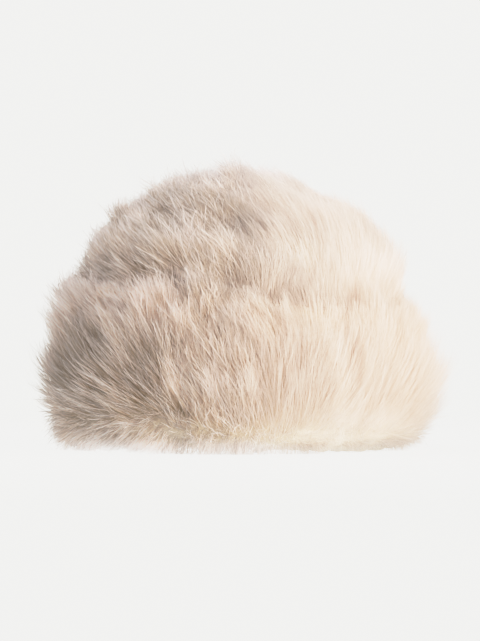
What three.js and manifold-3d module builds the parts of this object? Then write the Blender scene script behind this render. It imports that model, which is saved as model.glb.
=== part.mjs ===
// A soft fur hat: a domed crown of long fur with a deep fur cuff turned up round it.
// It stands on its rim as it does off the head. Millimetres, +Z up, the front faces -Y,
// and the origin is the middle of the floor under the hat.

import * as THREE from "three";
import { mergeVertices } from "three/addons/utils/BufferGeometryUtils.js";
import Module from "manifold-3d";

const wasm = await Module();
wasm.setup();

// The hollow for the head
const OPENING_WIDTH = 172;
const OPENING_DEPTH = 188;
const CROWN_DEPTH = 152;

// The pelt: its skin, the pile on it, and the share of the crown's pile that is a full mass
const SKIN = 2;
const CROWN_PILE = 25;
const CROWN_MASS = 0.68;
const CUFF_PILE = 31;
const TRAPPED_PILE = 9;
const FLOOR_PILE = 8;
const CLEARANCE = 0.3;

// The cuff's skin, from its fold to its top edge, and how far the top rises on one side
const CUFF_HEIGHT = 82;
const CUFF_TILT = 9;
const CUFF_HIGH_SIDE = THREE.MathUtils.degToRad(195);
const CUFF_CREST = 7;
const CREST_SLOPE = 0.4;
const RIM_INSET = 0.6;

// The locks of fur, how they slant round the hat, and how they lean in past the cuff's top
const CROWN_LOCK_LENGTH = 46;
const CROWN_LOCK_SPACING = 43;
const CROWN_LOCK_STEP = 27;
const CUFF_LOCK_LENGTH = 46;
const CUFF_LOCK_SPACING = 43;
const CUFF_LOCK_STEP = 21;
const HEM_LOCK_LENGTH = 32;
const PARTING_HEIGHT = 23;
const LOCK_THICKNESS = 4;
const NAP_SLANT = -0.3;
const CREST_LEAN = 0.55;

// Where the crown's hollow is narrower than its opening
const CROWN_SECTIONS = [
  { rise: 0, reach: 1 },
  { rise: 0.33, reach: 1.01 },
  { rise: 0.6, reach: 1.015 },
  { rise: 0.7, reach: 0.975 },
  { rise: 0.79, reach: 0.85 },
  { rise: 0.875, reach: 0.69 },
  { rise: 0.945, reach: 0.45 },
  { rise: 0.985, reach: 0.23 },
  { rise: 1, reach: 0 },
];

// The cuff's skin, from the rim's inner edge round the fold and up, and the depth of its fur mass
const CUFF_SECTIONS = [
  { climb: 0, lean: 0.05, mass: 0.3 },
  { climb: 0, lean: 0.6, mass: 0.34 },
  { climb: 0.03, lean: 0.95, mass: 0.38 },
  { climb: 0.12, lean: 1.03, mass: 0.52 },
  { climb: 0.35, lean: 1.06, mass: 0.66 },
  { climb: 0.65, lean: 1.08, mass: 0.66 },
  { climb: 0.88, lean: 1.08, mass: 0.6 },
  { climb: 1, lean: 1.06, mass: 0.46 },
];

// A lock from its root to its tip, in shares of its length, width, thickness and pile
const LOCK_SECTIONS = [
  { along: 0, width: 0.55, thickness: 0.5, lift: 0.44 },
  { along: 0.4, width: 1, thickness: 1, lift: 0.7 },
  { along: 0.78, width: 0.6, thickness: 0.7, lift: 0.84 },
];

// Hollows between the crown's tufts: bearing from +X, rise up the crown, spread and depth in piles
const CROWN_HOLLOWS = [
  { bearing: 230, rise: 0.67, spread: 0.9, depth: 0.24 },
  { bearing: 247, rise: 0.74, spread: 0.8, depth: 0.26 },
  { bearing: 266, rise: 0.9, spread: 0.8, depth: 0.2 },
  { bearing: 290, rise: 0.62, spread: 0.9, depth: 0.22 },
  { bearing: 300, rise: 0.74, spread: 0.7, depth: 0.2 },
  { bearing: 20, rise: 0.72, spread: 0.9, depth: 0.22 },
  { bearing: 75, rise: 0.68, spread: 0.8, depth: 0.24 },
  { bearing: 120, rise: 0.8, spread: 0.9, depth: 0.22 },
  { bearing: 170, rise: 0.7, spread: 0.8, depth: 0.24 },
];

// How finely the surfaces are drawn. The crown's wall behind the cuff is one straight row
const COLUMNS = 28;
const CROWN_ROWS = 10;
const STRAIGHT_SHARE = 0.36;
const CUFF_ROWS = 11;

const halfWidth = OPENING_WIDTH / 2;
const halfDepth = OPENING_DEPTH / 2;
const ovalness = halfDepth / halfWidth;
const foldHeight = FLOOR_PILE + CLEARANCE + SKIN / 2;
const rimHeight = foldHeight + SKIN / 2 + CLEARANCE;
const foldReach = SKIN + CLEARANCE + TRAPPED_PILE + CLEARANCE + SKIN / 2;
const tableRows = CUFF_SECTIONS.map((_, row) => row / (CUFF_SECTIONS.length - 1));

// A steady number from 0 to 1 for a seed, so that every run gives the same locks
function scatter(seed) {
  const mixed = Math.sin(seed * 127.1 + 311.7) * 43758.5453;
  return mixed - Math.floor(mixed);
}

// A closed surface over stations, each a ring of points or a single point
function loft(stations, looped = false) {
  const positions = [];
  const triangles = [];
  const starts = stations.map((ring) => {
    const start = positions.length / 3;
    ring.forEach((point) => positions.push(point.x, point.y, point.z));
    return start;
  });
  const pairs = looped ? stations.length : stations.length - 1;
  for (let i = 0; i < pairs; i++) {
    const j = (i + 1) % stations.length;
    const count = Math.max(stations[i].length, stations[j].length);
    for (let k = 0; k < count; k++) {
      const next = (k + 1) % count;
      const [a, b] = [k, next].map((n) => starts[i] + (stations[i].length > 1 ? n : 0));
      const [c, d] = [k, next].map((n) => starts[j] + (stations[j].length > 1 ? n : 0));
      if (a !== b) triangles.push(a, b, d);
      if (c !== d) triangles.push(a, d, c);
    }
  }
  const geometry = new THREE.BufferGeometry();
  geometry.setAttribute("position", new THREE.Float32BufferAttribute(positions, 3));
  geometry.setIndex(triangles);
  return signedVolume(geometry) < 0 ? turnedOut(geometry) : geometry;
}

function signedVolume(geometry) {
  const position = geometry.getAttribute("position");
  const index = geometry.getIndex().array;
  const corner = [0, 1, 2].map(() => new THREE.Vector3());
  let volume = 0;
  for (let i = 0; i < index.length; i += 3) {
    corner.forEach((point, n) => point.fromBufferAttribute(position, index[i + n]));
    volume += corner[0].dot(corner[1].clone().cross(corner[2])) / 6;
  }
  return volume;
}

function turnedOut(geometry) {
  const index = Array.from(geometry.getIndex().array);
  for (let i = 0; i < index.length; i += 3) {
    [index[i + 1], index[i + 2]] = [index[i + 2], index[i + 1]];
  }
  geometry.setIndex(index);
  return geometry;
}

function solidOf(geometry) {
  const bare = geometry.clone();
  bare.deleteAttribute("normal");
  bare.deleteAttribute("uv");
  const merged = mergeVertices(bare, 1e-4);
  return new wasm.Manifold(
    new wasm.Mesh({
      numProp: 3,
      vertProperties: merged.getAttribute("position").array,
      triVerts: new Uint32Array(merged.getIndex().array),
    }),
  );
}

function geometryOf(solid) {
  const mesh = solid.getMesh();
  const points = new Float32Array(mesh.numVert * 3);
  for (let i = 0; i < mesh.numVert; i++) {
    const start = i * mesh.numProp;
    points.set(mesh.vertProperties.subarray(start, start + 3), i * 3);
  }
  const geometry = new THREE.BufferGeometry();
  geometry.setAttribute("position", new THREE.BufferAttribute(points, 3));
  geometry.setIndex(new THREE.BufferAttribute(new Uint32Array(mesh.triVerts), 1));
  geometry.computeVertexNormals();
  return geometry;
}

function bearings(count) {
  return Array.from({ length: count }, (_, i) => (i / count) * 2 * Math.PI);
}

// The crown's hollow, as a curve from the rim to the apex
const crownProfile = new THREE.SplineCurve(
  CROWN_SECTIONS.map(({ rise, reach }) => new THREE.Vector2(reach * halfWidth, rise * CROWN_DEPTH)),
);
const crownLength = crownProfile.getLength();

// A point on the crown: a way along the profile, lifted off the hollow's surface
function crownPoint(bearing, distance, lift) {
  const share = THREE.MathUtils.clamp(distance / crownLength, 0, 1);
  const at = crownProfile.getPointAt(share);
  const way = crownProfile.getTangentAt(share);
  const [cosine, sine] = [Math.cos(bearing), Math.sin(bearing)];
  const normal = new THREE.Vector3(
    ovalness * cosine * way.y,
    sine * way.y,
    -ovalness * way.x,
  ).normalize();
  return new THREE.Vector3(at.x * cosine, at.x * ovalness * sine, rimHeight + at.y).addScaledVector(
    normal,
    lift,
  );
}

function cuffTop(bearing) {
  return CUFF_HEIGHT + CUFF_TILT * Math.cos(bearing - CUFF_HIGH_SIDE);
}

// The middle of the cuff's skin at one bearing, as a curve of reach from the opening and height
function cuffProfile(bearing) {
  return new THREE.SplineCurve(
    CUFF_SECTIONS.map(({ climb, lean }) => {
      const reach = Math.max(lean * foldReach, RIM_INSET);
      return new THREE.Vector2(reach, foldHeight + climb * cuffTop(bearing));
    }),
  );
}

// A point that lies a given reach outside the opening's oval
function outsideOpening(bearing, reach, height) {
  const [cosine, sine] = [Math.cos(bearing), Math.sin(bearing)];
  const way = new THREE.Vector2(halfDepth * cosine, halfWidth * sine).normalize();
  return new THREE.Vector3(
    halfWidth * cosine + reach * way.x,
    halfDepth * sine + reach * way.y,
    height,
  );
}

// Reach and height at a place on the cuff's table, from 0 to 1, lifted off the middle of its skin
function cuffSpot(profile, place, lift) {
  const way = profile.getTangent(place);
  return profile.getPoint(place).add(new THREE.Vector2(way.y, -way.x).multiplyScalar(lift));
}

// A point on the cuff: a way along its skin, past its top edge if long, lifted off its middle
function cuffPoint(bearing, distance, lift) {
  const profile = cuffProfile(bearing);
  const length = profile.getLength();
  const share = THREE.MathUtils.clamp(distance / length, 0, 1);
  const spot = cuffSpot(profile, profile.getUtoTmapping(share), lift);
  const past = distance - share * length;
  return outsideOpening(bearing, spot.x - past * CREST_LEAN, spot.y + past);
}

// A point on the hem: a way down from the parting, curling in under the rim
function hemPoint(bearing, distance, lift) {
  const swing = distance / (foldReach + PARTING_HEIGHT / 2);
  const drop = (PARTING_HEIGHT * lift) / CUFF_PILE;
  return outsideOpening(
    bearing,
    (foldReach + lift) * Math.cos(swing),
    PARTING_HEIGHT - drop * Math.sin(swing),
  );
}

// The fur mass at a place on the cuff's table, as a share of the pile
function cuffMassAt(place) {
  const along = place * (CUFF_SECTIONS.length - 1);
  const row = Math.min(Math.floor(along), CUFF_SECTIONS.length - 2);
  return THREE.MathUtils.lerp(CUFF_SECTIONS[row].mass, CUFF_SECTIONS[row + 1].mass, along - row);
}

// Soft swells round the hat, from -1 to 1
function swell(bearing, height) {
  const broad = Math.sin(3 * bearing + height / 31) * Math.cos(2 * bearing - height / 23);
  const fine = Math.sin(7 * bearing - height / 17 + 1.3) * Math.sin(5 * bearing + height / 13);
  return 0.6 * broad + 0.4 * fine;
}

// How far the crown's fur mass stands off the skin
function crownMass(bearing, distance) {
  const spot = crownPoint(bearing, distance, SKIN + CROWN_PILE * CROWN_MASS);
  const crest = foldHeight + cuffTop(bearing) + CUFF_CREST;
  const freed = THREE.MathUtils.smoothstep(spot.z, crest - CROWN_PILE * 0.7, crest);
  const dip = CROWN_HOLLOWS.reduce((sum, { bearing: degrees, rise, spread, depth }) => {
    const middle = crownPoint(
      THREE.MathUtils.degToRad(degrees),
      rise * crownLength,
      SKIN + CROWN_PILE * CROWN_MASS,
    );
    const away = middle.distanceTo(spot) / (spread * CROWN_PILE);
    return sum + depth * Math.exp(-away * away);
  }, 0);
  const loose = CROWN_PILE * (CROWN_MASS + 0.07 * swell(bearing, spot.z) - dip);
  return THREE.MathUtils.lerp(TRAPPED_PILE, Math.max(loose, TRAPPED_PILE * 0.8), freed);
}

// A wall over the crown between two lifts, each a function of bearing and distance, open at the rim
function crownWall(inner, outer) {
  const upper = Array.from({ length: CROWN_ROWS }, (_, i) =>
    THREE.MathUtils.lerp(STRAIGHT_SHARE, 1, i / CROWN_ROWS),
  );
  const steps = [0, ...upper].map((share) => share * crownLength);
  const ring = (distance, lift) =>
    bearings(COLUMNS).map((bearing) => crownPoint(bearing, distance, lift(bearing, distance)));
  const apex = (lift) => [crownPoint(0, crownLength, lift(0, crownLength))];
  return loft([
    apex(outer),
    ...steps.map((distance) => ring(distance, outer)).reverse(),
    ...steps.map((distance) => ring(distance, inner)),
    apex(inner),
  ]);
}

// The space that belongs to the crown: inside the cuff's skin, and above the cuff's sloping top
function crownSpace(inset) {
  const wide = 3 * CUFF_PILE;
  const above = rimHeight + 2 * CROWN_DEPTH;
  const sections = bearings(COLUMNS).map((bearing) => {
    const profile = cuffProfile(bearing);
    const inside = tableRows.map((place) => cuffSpot(profile, place, -SKIN / 2 - inset));
    const lip = inside.at(-1).x;
    const crest = foldHeight + cuffTop(bearing) + CUFF_CREST + inset;
    return [
      ...inside,
      new THREE.Vector2(lip, crest),
      new THREE.Vector2(lip + wide, crest + wide * CREST_SLOPE),
      new THREE.Vector2(lip + wide, above),
    ].map((spot) => outsideOpening(bearing, spot.x, spot.y));
  });
  const rings = sections[0].map((_, row) => sections.map((section) => section[row]));
  const floor = new THREE.Vector3(0, 0, foldHeight + SKIN / 2 + inset);
  return solidOf(loft([[floor], ...rings, [new THREE.Vector3(0, 0, above)]]));
}

// One tapering lock that lies along a surface and rises to its tip
function lock(surface, { bearing, distance, length, width, pile, slant }) {
  const foot = surface(bearing, distance, pile * LOCK_SECTIONS[0].lift);
  const radius = Math.max(Math.hypot(foot.x, foot.y), width);
  const spot = (along, lift) =>
    surface(bearing + (slant * along * length) / radius, distance + along * length, lift * pile);
  const rings = LOCK_SECTIONS.map((section) => {
    const middle = spot(section.along, section.lift);
    const ahead = spot(section.along + 0.05, section.lift).sub(middle).normalize();
    const up = spot(section.along, section.lift + 0.1).sub(middle).normalize();
    const side = new THREE.Vector3().crossVectors(ahead, up).multiplyScalar((section.width * width) / 2);
    up.multiplyScalar(section.thickness * LOCK_THICKNESS);
    return [middle.clone().add(side), middle.clone().add(up), middle.clone().sub(side)];
  });
  return solidOf(loft([[spot(-0.04, LOCK_SECTIONS[0].lift)], ...rings, [spot(1, 1)]]));
}

function join(solids) {
  return solids.reduce((whole, solid) => whole.add(solid));
}

// The largest body alone: pockets shut in between locks are filled, and clipped-off tips go
function oneBody(solid) {
  return solid.decompose().reduce((most, body) => (body.volume() > most.volume() ? body : most));
}

// A ring of locks round the hat, each a little unlike its neighbours
function lockRow(surface, seed, { distance, spacing, length, pile }) {
  const radius = surface(0, distance, pile).x;
  const count = Math.max(1, Math.round((2 * Math.PI * radius) / spacing));
  const offset = (seed % 2) / 2;
  return Array.from({ length: count }, (_, i) => {
    const vary = (n, spread) => spread * (scatter(seed * 53 + i * 7 + n) - 0.5);
    return lock(surface, {
      bearing: ((i + offset + vary(1, 0.4)) / count) * 2 * Math.PI,
      distance: distance + vary(2, 0.2) * length,
      length: length * (1 + vary(3, 0.35)),
      width: spacing * (0.95 + vary(4, 0.3)),
      pile: pile * (0.95 + vary(5, 0.1)),
      slant: NAP_SLANT + vary(6, 0.5),
    });
  });
}

function crownFur() {
  const backing = SKIN + CLEARANCE;
  const mass = crownWall(
    () => backing,
    (bearing, distance) => backing + crownMass(bearing, distance),
  );
  const surface = (bearing, distance, lift) => crownPoint(bearing, distance, backing + lift);
  const first = crownLength * 0.36;
  const last = crownLength - CROWN_LOCK_STEP * 0.6;
  const rows = Math.max(1, Math.round((last - first) / CROWN_LOCK_STEP));
  const locks = Array.from({ length: rows }, (_, row) =>
    lockRow(surface, row + 11, {
      distance: first + ((last - first) * row) / rows,
      spacing: CROWN_LOCK_SPACING,
      length: CROWN_LOCK_LENGTH,
      pile: CROWN_PILE,
    }),
  ).flat();
  return oneBody(join([solidOf(mass), ...locks]).intersect(crownSpace(CLEARANCE)));
}

function cuffSkin() {
  const sections = bearings(COLUMNS).map((bearing) => {
    const profile = cuffProfile(bearing);
    const spots = [
      ...tableRows.map((place) => cuffSpot(profile, place, SKIN / 2)),
      ...tableRows.map((place) => cuffSpot(profile, place, -SKIN / 2)).reverse(),
    ];
    return spots.map((spot) => outsideOpening(bearing, spot.x, spot.y));
  });
  return loft(sections, true);
}

// The fur mass round the cuff: over its skin, and over the skin's top edge
function cuffMass() {
  const backing = SKIN / 2 + CLEARANCE;
  const outerRows = Array.from({ length: CUFF_ROWS + 1 }, (_, i) => i / CUFF_ROWS);
  const sectionAt = (bearing) => {
    const profile = cuffProfile(bearing);
    const top = foldHeight + cuffTop(bearing);
    const edge = profile.getPoint(1).x;
    const outer = outerRows.map((place) => {
      const full = cuffMassAt(place) + 0.05 * swell(bearing, profile.getPoint(place).y);
      return cuffSpot(profile, place, backing + CUFF_PILE * full);
    });
    return [
      ...outer,
      new THREE.Vector2(edge + CUFF_PILE * 0.25, top + CUFF_CREST),
      new THREE.Vector2(edge - SKIN / 2, top + CUFF_CREST * 0.6),
      new THREE.Vector2(edge - SKIN / 2, top + CLEARANCE),
      new THREE.Vector2(edge + backing, top + CLEARANCE),
      ...tableRows.slice(0, -1).map((place) => cuffSpot(profile, place, backing)).reverse(),
    ];
  };
  const sections = bearings(COLUMNS).map((bearing) =>
    sectionAt(bearing).map((spot) => outsideOpening(bearing, spot.x, spot.y)),
  );
  return solidOf(loft(sections, true));
}

function cuffFur() {
  const surface = (bearing, distance, lift) =>
    cuffPoint(bearing, distance, SKIN / 2 + CLEARANCE + lift);
  const flat = foldReach + PARTING_HEIGHT - foldHeight;
  const free = cuffProfile(0).getLength() - flat - CUFF_LOCK_STEP * 0.3;
  const rows = Math.max(1, Math.round(free / CUFF_LOCK_STEP));
  const rising = Array.from({ length: rows }, (_, row) =>
    lockRow(surface, row + 31, {
      distance: flat + (free * row) / rows,
      spacing: CUFF_LOCK_SPACING,
      length: CUFF_LOCK_LENGTH,
      pile: CUFF_PILE,
    }),
  ).flat();
  const falling = lockRow(hemPoint, 5, {
    distance: -HEM_LOCK_LENGTH * 0.2,
    spacing: CUFF_LOCK_SPACING * 0.8,
    length: HEM_LOCK_LENGTH,
    pile: CUFF_PILE,
  });
  const across = 2 * (OPENING_WIDTH + OPENING_DEPTH);
  const floor = new THREE.BoxGeometry(across, across, across).translate(0, 0, -across / 2);
  const whole = join([cuffMass(), ...rising, ...falling]);
  return oneBody(whole.subtract(crownSpace(0)).subtract(solidOf(floor)));
}

const suede = new THREE.MeshStandardMaterial({ color: 0xcdb89f, roughness: 0.95, metalness: 0 });
const fur = new THREE.MeshStandardMaterial({ color: 0xe0d2c4, roughness: 0.9, metalness: 0 });

const hat = new THREE.Group();

function addPiece(name, geometry, material) {
  const piece = new THREE.Mesh(geometry, material);
  piece.name = name;
  hat.add(piece);
}

addPiece("crown_skin", crownWall(() => 0, () => SKIN), suede);
addPiece("crown_fur", geometryOf(crownFur()), fur);
addPiece("cuff_skin", cuffSkin(), suede);
addPiece("cuff_fur", geometryOf(cuffFur()), fur);

export default hat;
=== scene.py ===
import logging
import math
from dataclasses import dataclass, fields
from enum import Enum

import bpy
import numpy as np
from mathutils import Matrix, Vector, kdtree


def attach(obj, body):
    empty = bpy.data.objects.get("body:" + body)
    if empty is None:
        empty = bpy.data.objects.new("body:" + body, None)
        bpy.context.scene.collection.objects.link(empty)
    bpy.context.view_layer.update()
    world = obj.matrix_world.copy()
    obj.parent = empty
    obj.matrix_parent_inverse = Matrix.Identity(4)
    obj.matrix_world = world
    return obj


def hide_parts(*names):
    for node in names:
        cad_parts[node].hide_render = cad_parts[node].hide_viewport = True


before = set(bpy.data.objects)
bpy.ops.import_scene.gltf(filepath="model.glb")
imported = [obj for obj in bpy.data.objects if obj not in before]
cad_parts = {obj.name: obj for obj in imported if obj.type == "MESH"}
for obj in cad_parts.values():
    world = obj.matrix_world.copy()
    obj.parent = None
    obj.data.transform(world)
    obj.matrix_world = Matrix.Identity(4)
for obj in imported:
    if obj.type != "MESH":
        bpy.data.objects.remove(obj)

logging.basicConfig(level=logging.INFO, format="%(message)s")
log = logging.getLogger("fur_hat")

MM = 0.001
BODY = "root"
IMAGE_HEIGHT = 641
TURN = 2 * math.pi
NOISE_CELLS = 64

Array = np.ndarray
Piece = bpy.types.Object
Material = bpy.types.Material
Output = bpy.types.NodeSocket
Colour = tuple[float, float, float]


class Slot(Enum):
    """Material slot names."""

    SUEDE = "suede"
    FUR = "fur"


class Socket(Enum):
    """The kinds of sockets that shared effects have."""

    FLOAT = "NodeSocketFloat"
    COLOUR = "NodeSocketColor"
    VECTOR = "NodeSocketVector"


def lattice_noise(across: Array, along: Array, seed: int) -> Array:
    """Smooth random swells over a plane.

    Args:
        across: First coordinate, one unit to a swell.
        along: Second coordinate, one unit to a swell.
        seed: Picks one of many patterns.

    Returns:
        Values from -1 to 1, one for each place.
    """
    table = np.random.default_rng(seed).uniform(-1, 1, (NOISE_CELLS, NOISE_CELLS))
    x0, y0 = np.floor(across).astype(int), np.floor(along).astype(int)
    fx, fy = across - x0, along - y0
    fx = fx * fx * (3 - 2 * fx)
    fy = fy * fy * (3 - 2 * fy)
    left, right = x0 % NOISE_CELLS, (x0 + 1) % NOISE_CELLS
    low, high = y0 % NOISE_CELLS, (y0 + 1) % NOISE_CELLS
    near = table[left, low] * (1 - fx) + table[right, low] * fx
    far = table[left, high] * (1 - fx) + table[right, high] * fx
    return near * (1 - fy) + far * fy


def ring_noise(bearing: Array, along: Array, swells: int, seed: int) -> Array:
    """Smooth random swells round the hat, so many to a turn."""
    return lattice_noise(bearing * swells / TURN, along, seed)


def bearing_of(points: Array) -> Array:
    """Each point's bearing round the hat, in radians from the right."""
    return np.arctan2(points[:, 1], points[:, 0])


def unit(vectors: Array) -> Array:
    """Vectors along the last axis, scaled to length one."""
    return vectors / np.maximum(np.linalg.norm(vectors, axis=-1, keepdims=True), 1e-12)


def smooth_step(values: Array, low: float, high: float | Array) -> Array:
    """A soft ramp from 0 at low to 1 at high."""
    share = np.clip((values - low) / (high - low), 0, 1)
    return share * share * (3 - 2 * share)


def bell(away: Array, spread: float) -> Array:
    """A soft bump: 1 where away is 0, and falling off over the spread."""
    return np.exp(-((away / spread) ** 2))


@dataclass(frozen=True)
class Ramp:
    """A soft ramp: 0 up to low, and 1 from high on."""

    low: float
    high: float

    def __call__(self, values: Array) -> Array:
        """How far up the ramp each value is."""
        return smooth_step(values, self.low, self.high)


def scatter(
    alongs: Array, radii: Array, spacing: float, rng: np.random.Generator, jitter: float
) -> tuple[Array, Array]:
    """Places in staggered rings round the hat.

    Args:
        alongs: How far along each ring is.
        radii: Each ring's radius.
        spacing: Distance between neighbours, in metres.
        rng: The source of chance.
        jitter: How far each may stray, in spacings.

    Returns:
        The places' bearings, and how far along they are.
    """
    bearings, places = [], []
    for row, (along, radius) in enumerate(zip(alongs, radii)):
        count = max(3, round(TURN * radius / spacing))
        stray = rng.uniform(-jitter, jitter, (2, count))
        bearings.append((np.arange(count) + row % 2 / 2 + stray[0]) / count * TURN)
        places.append(along + stray[1] * spacing)
    return np.concatenate(bearings), np.concatenate(places)


def spline(points: Array, steps: int = 40) -> Array:
    """A smooth curve through points.

    Args:
        points: The points, one a row.
        steps: How many short lines each span becomes.

    Returns:
        The curve's points, one a row.
    """
    padded = np.vstack([points[0], points, points[-1]])
    t = np.linspace(0, 1, steps, endpoint=False)[:, None]
    spans = []
    for i in range(len(points) - 1):
        p0, p1, p2, p3 = padded[i : i + 4]
        v0 = (p2 - p0) * 0.5
        v1 = (p3 - p1) * 0.5
        spans.append(
            (2 * p1 - 2 * p2 + v0 + v1) * t**3 + (-3 * p1 + 3 * p2 - 2 * v0 - v1) * t**2 + v0 * t + p1
        )
    return np.vstack([*spans, points[-1:]])


def run_of(curve: Array) -> Array:
    """The length of a curve up to each of its points."""
    return np.concatenate([[0], np.cumsum(np.linalg.norm(np.diff(curve, axis=0), axis=1))])


def linked(name: str, data: bpy.types.ID) -> Piece:
    """An object with its data, linked to the scene.

    Args:
        name: The object's name.
        data: The mesh, light or camera that it holds.

    Returns:
        The object.
    """
    made = bpy.data.objects.new(name, data)
    bpy.context.scene.collection.objects.link(made)
    return made


def new_mesh(name: str, points: Array, loops: Array, starts: Array) -> Piece:
    """A smooth-shaded mesh object from arrays.

    Args:
        name: The piece's name.
        points: Corner places in metres, one a row.
        loops: The corners' numbers, face after face.
        starts: Where each face starts in loops.

    Returns:
        The object, linked to the scene.
    """
    mesh = bpy.data.meshes.new(name)
    mesh.vertices.add(len(points))
    mesh.vertices.foreach_set("co", points.astype(np.float32).ravel())
    mesh.loops.add(len(loops))
    mesh.loops.foreach_set("vertex_index", loops.astype(np.int32))
    mesh.polygons.add(len(starts))
    mesh.polygons.foreach_set("loop_start", starts.astype(np.int32))
    mesh.update(calc_edges=True)
    mesh.shade_smooth()
    return linked(name, mesh)


def give_values(piece: Piece, label: str, values: Array) -> None:
    """Stores a number at every corner point of a piece."""
    layer = piece.data.attributes.new(label, "FLOAT", "POINT")
    layer.data.foreach_set("value", values.astype(np.float32).ravel())


def give_map(piece: Piece, label: str, places: Array) -> None:
    """Lays a piece out flat, with a place for each corner of each face in turn."""
    layer = piece.data.uv_layers.new(name=label)
    layer.data.foreach_set("uv", places.astype(np.float32).ravel())


def whiten(piece: Piece, frost_and_light: Array | float = 0.0) -> None:
    """Gives a shell its frost and painted light: paler on the key-lit side as painted light, and at least as
    white as told.

    Args:
        piece: The shell.
        frost_and_light: How white each corner point is at least.
    """
    place = np.array([corner.co for corner in piece.data.vertices])
    side = place[:, 0] / np.maximum(np.hypot(place[:, 0], place[:, 1]), 1e-6)
    height = smooth_step(place[:, 2], 4 * MM, 26 * MM)
    # Painted light: whiter on the key-lit right side, a little less so near the floor.
    white = 0.85 * smooth_step(side, -0.1, 0.6) * (0.75 + 0.25 * height)
    give_values(piece, "frost_and_light", np.maximum(white, frost_and_light))


def loft(name: str, rings: list[Array]) -> Piece:
    """A closed skin over rings, each a ring of points or a single point at an end.

    Args:
        name: The piece's name.
        rings: Rings of equal count, from one end to the other; all rings make a loop
            when neither end is a single point.

    Returns:
        The object, with a map that runs round it and along it.
    """
    starts = np.cumsum([0] + [len(ring) for ring in rings])
    count = max(len(ring) for ring in rings)
    pairs = len(rings) - (len(rings[0]) == 1)
    faces = []
    for i in range(pairs):
        j = (i + 1) % len(rings)
        low, high = i / pairs, (i + 1) / pairs
        for n in range(count):
            m, left, right = (n + 1) % count, n / count, (n + 1) / count
            lower = [(starts[i] + n, left, low), (starts[i] + m, right, low)]
            upper = [(starts[j] + m, right, high), (starts[j] + n, left, high)]
            if len(rings[i]) == 1:
                lower = [(starts[i], (left + right) / 2, low)]
            if len(rings[j]) == 1:
                upper = [(starts[j], (left + right) / 2, high)]
            faces.append(lower + upper)
    corners = np.array([corner for face in faces for corner in face])
    firsts = np.cumsum([0] + [len(face) for face in faces[:-1]])
    piece = new_mesh(name, np.vstack(rings), corners[:, 0], firsts)
    give_map(piece, "Wrap", corners[:, 1:])
    return piece


@dataclass(frozen=True)
class Coat:
    """How the hair of one area grows: lengths in metres, the rest in shares.

    at is the height on the cuff's outline, or up the crown, that the coat belongs to. rise
    is how far a tip stands off the under-fur, and bow is how much a strand bends back to it,
    per metre.
    """

    at: float
    length: float
    rise: float
    bow: float


@dataclass
class Seats:
    """Places on the under-fur where strands stand.

    point is the place, normal points out of the pelt, nap runs the way the hair lies, and
    across runs round the hat. run is how far up the pelt the place is. shade is painted shade
    and light: 1 down in a hollow or a crease, where the hair is short and painted darker, and
    -1 where painted light makes it palest. calm is 1 where the hair lies brushed smooth, and its
    colour is evened out there as painted light on the lit side. frost is 1 where it is nearly
    white, partly from a pale fringe and partly as painted light.
    """

    point: Array
    normal: Array
    nap: Array
    across: Array
    run: Array
    shade: Array
    calm: Array
    frost_and_light: Array

    def part(self, chosen: Array) -> "Seats":
        """The seats that an index or a mask picks."""
        return Seats(*(getattr(self, field.name)[chosen] for field in fields(self)))

    @property
    def brushed(self) -> Array:
        """1 where the hair is wholly calm, and 0 where it is half calm or less."""
        return np.clip(2 * self.calm - 1, 0, 1)


@dataclass
class Pelt:
    """Sizes that the crown and the cuff share, in metres."""

    half_width: float = 86 * MM
    half_depth: float = 94 * MM
    skin: float = 2 * MM
    gap: float = 0.3 * MM
    floor_pile: float = 8 * MM
    trapped_pile: float = 9 * MM
    cuff_height: float = 82 * MM
    cuff_tilt: float = 9 * MM
    cuff_high_side: float = math.radians(195)
    crest_rise: float = 7 * MM

    @property
    def ovalness(self) -> float:
        """How much deeper the hat is than wide."""
        return self.half_depth / self.half_width

    @property
    def fold_height(self) -> float:
        """Height of the middle of the cuff's skin at its fold."""
        return self.floor_pile + self.gap + self.skin / 2

    @property
    def rim_height(self) -> float:
        """Height of the crown's rim, inside the fold."""
        return self.fold_height + self.skin / 2 + self.gap

    @property
    def fold_reach(self) -> float:
        """How far outside the opening the middle of the cuff's skin stands."""
        return self.skin + self.gap + self.trapped_pile + self.gap + self.skin / 2

    def cuff_top(self, bearing: Array) -> Array:
        """Height of the top edge of the cuff's skin above the floor."""
        tilt = self.cuff_tilt * np.cos(bearing - self.cuff_high_side)
        return self.fold_height + self.cuff_height + tilt

    def outside(self, bearing: Array, reach: Array, height: Array) -> Array:
        """Points a given reach outside the opening's oval, at given heights.

        Args:
            bearing: The points' bearings.
            reach: How far outside the oval they are.
            height: How far above the floor they are.

        Returns:
            The points.
        """
        cosine, sine = np.cos(bearing), np.sin(bearing)
        way = unit(np.stack([self.half_depth * cosine, self.half_width * sine], axis=-1))
        return np.stack(
            [
                self.half_width * cosine + reach * way[..., 0],
                self.half_depth * sine + reach * way[..., 1],
                height * np.ones_like(cosine),
            ],
            axis=-1,
        )


@dataclass(frozen=True)
class Hollow:
    """A dip between tufts: bearing in degrees, rise as a share of the way up, and its spread and depth.

    On the crown spread and depth are in piles, and the dip also gets painted shade. On the cuff
    spread is in metres and depth is how much painted shade the hair gets; a depth below nothing
    is painted light on a full tuft.
    """

    bearing: float
    rise: float
    spread: float
    depth: float


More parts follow.
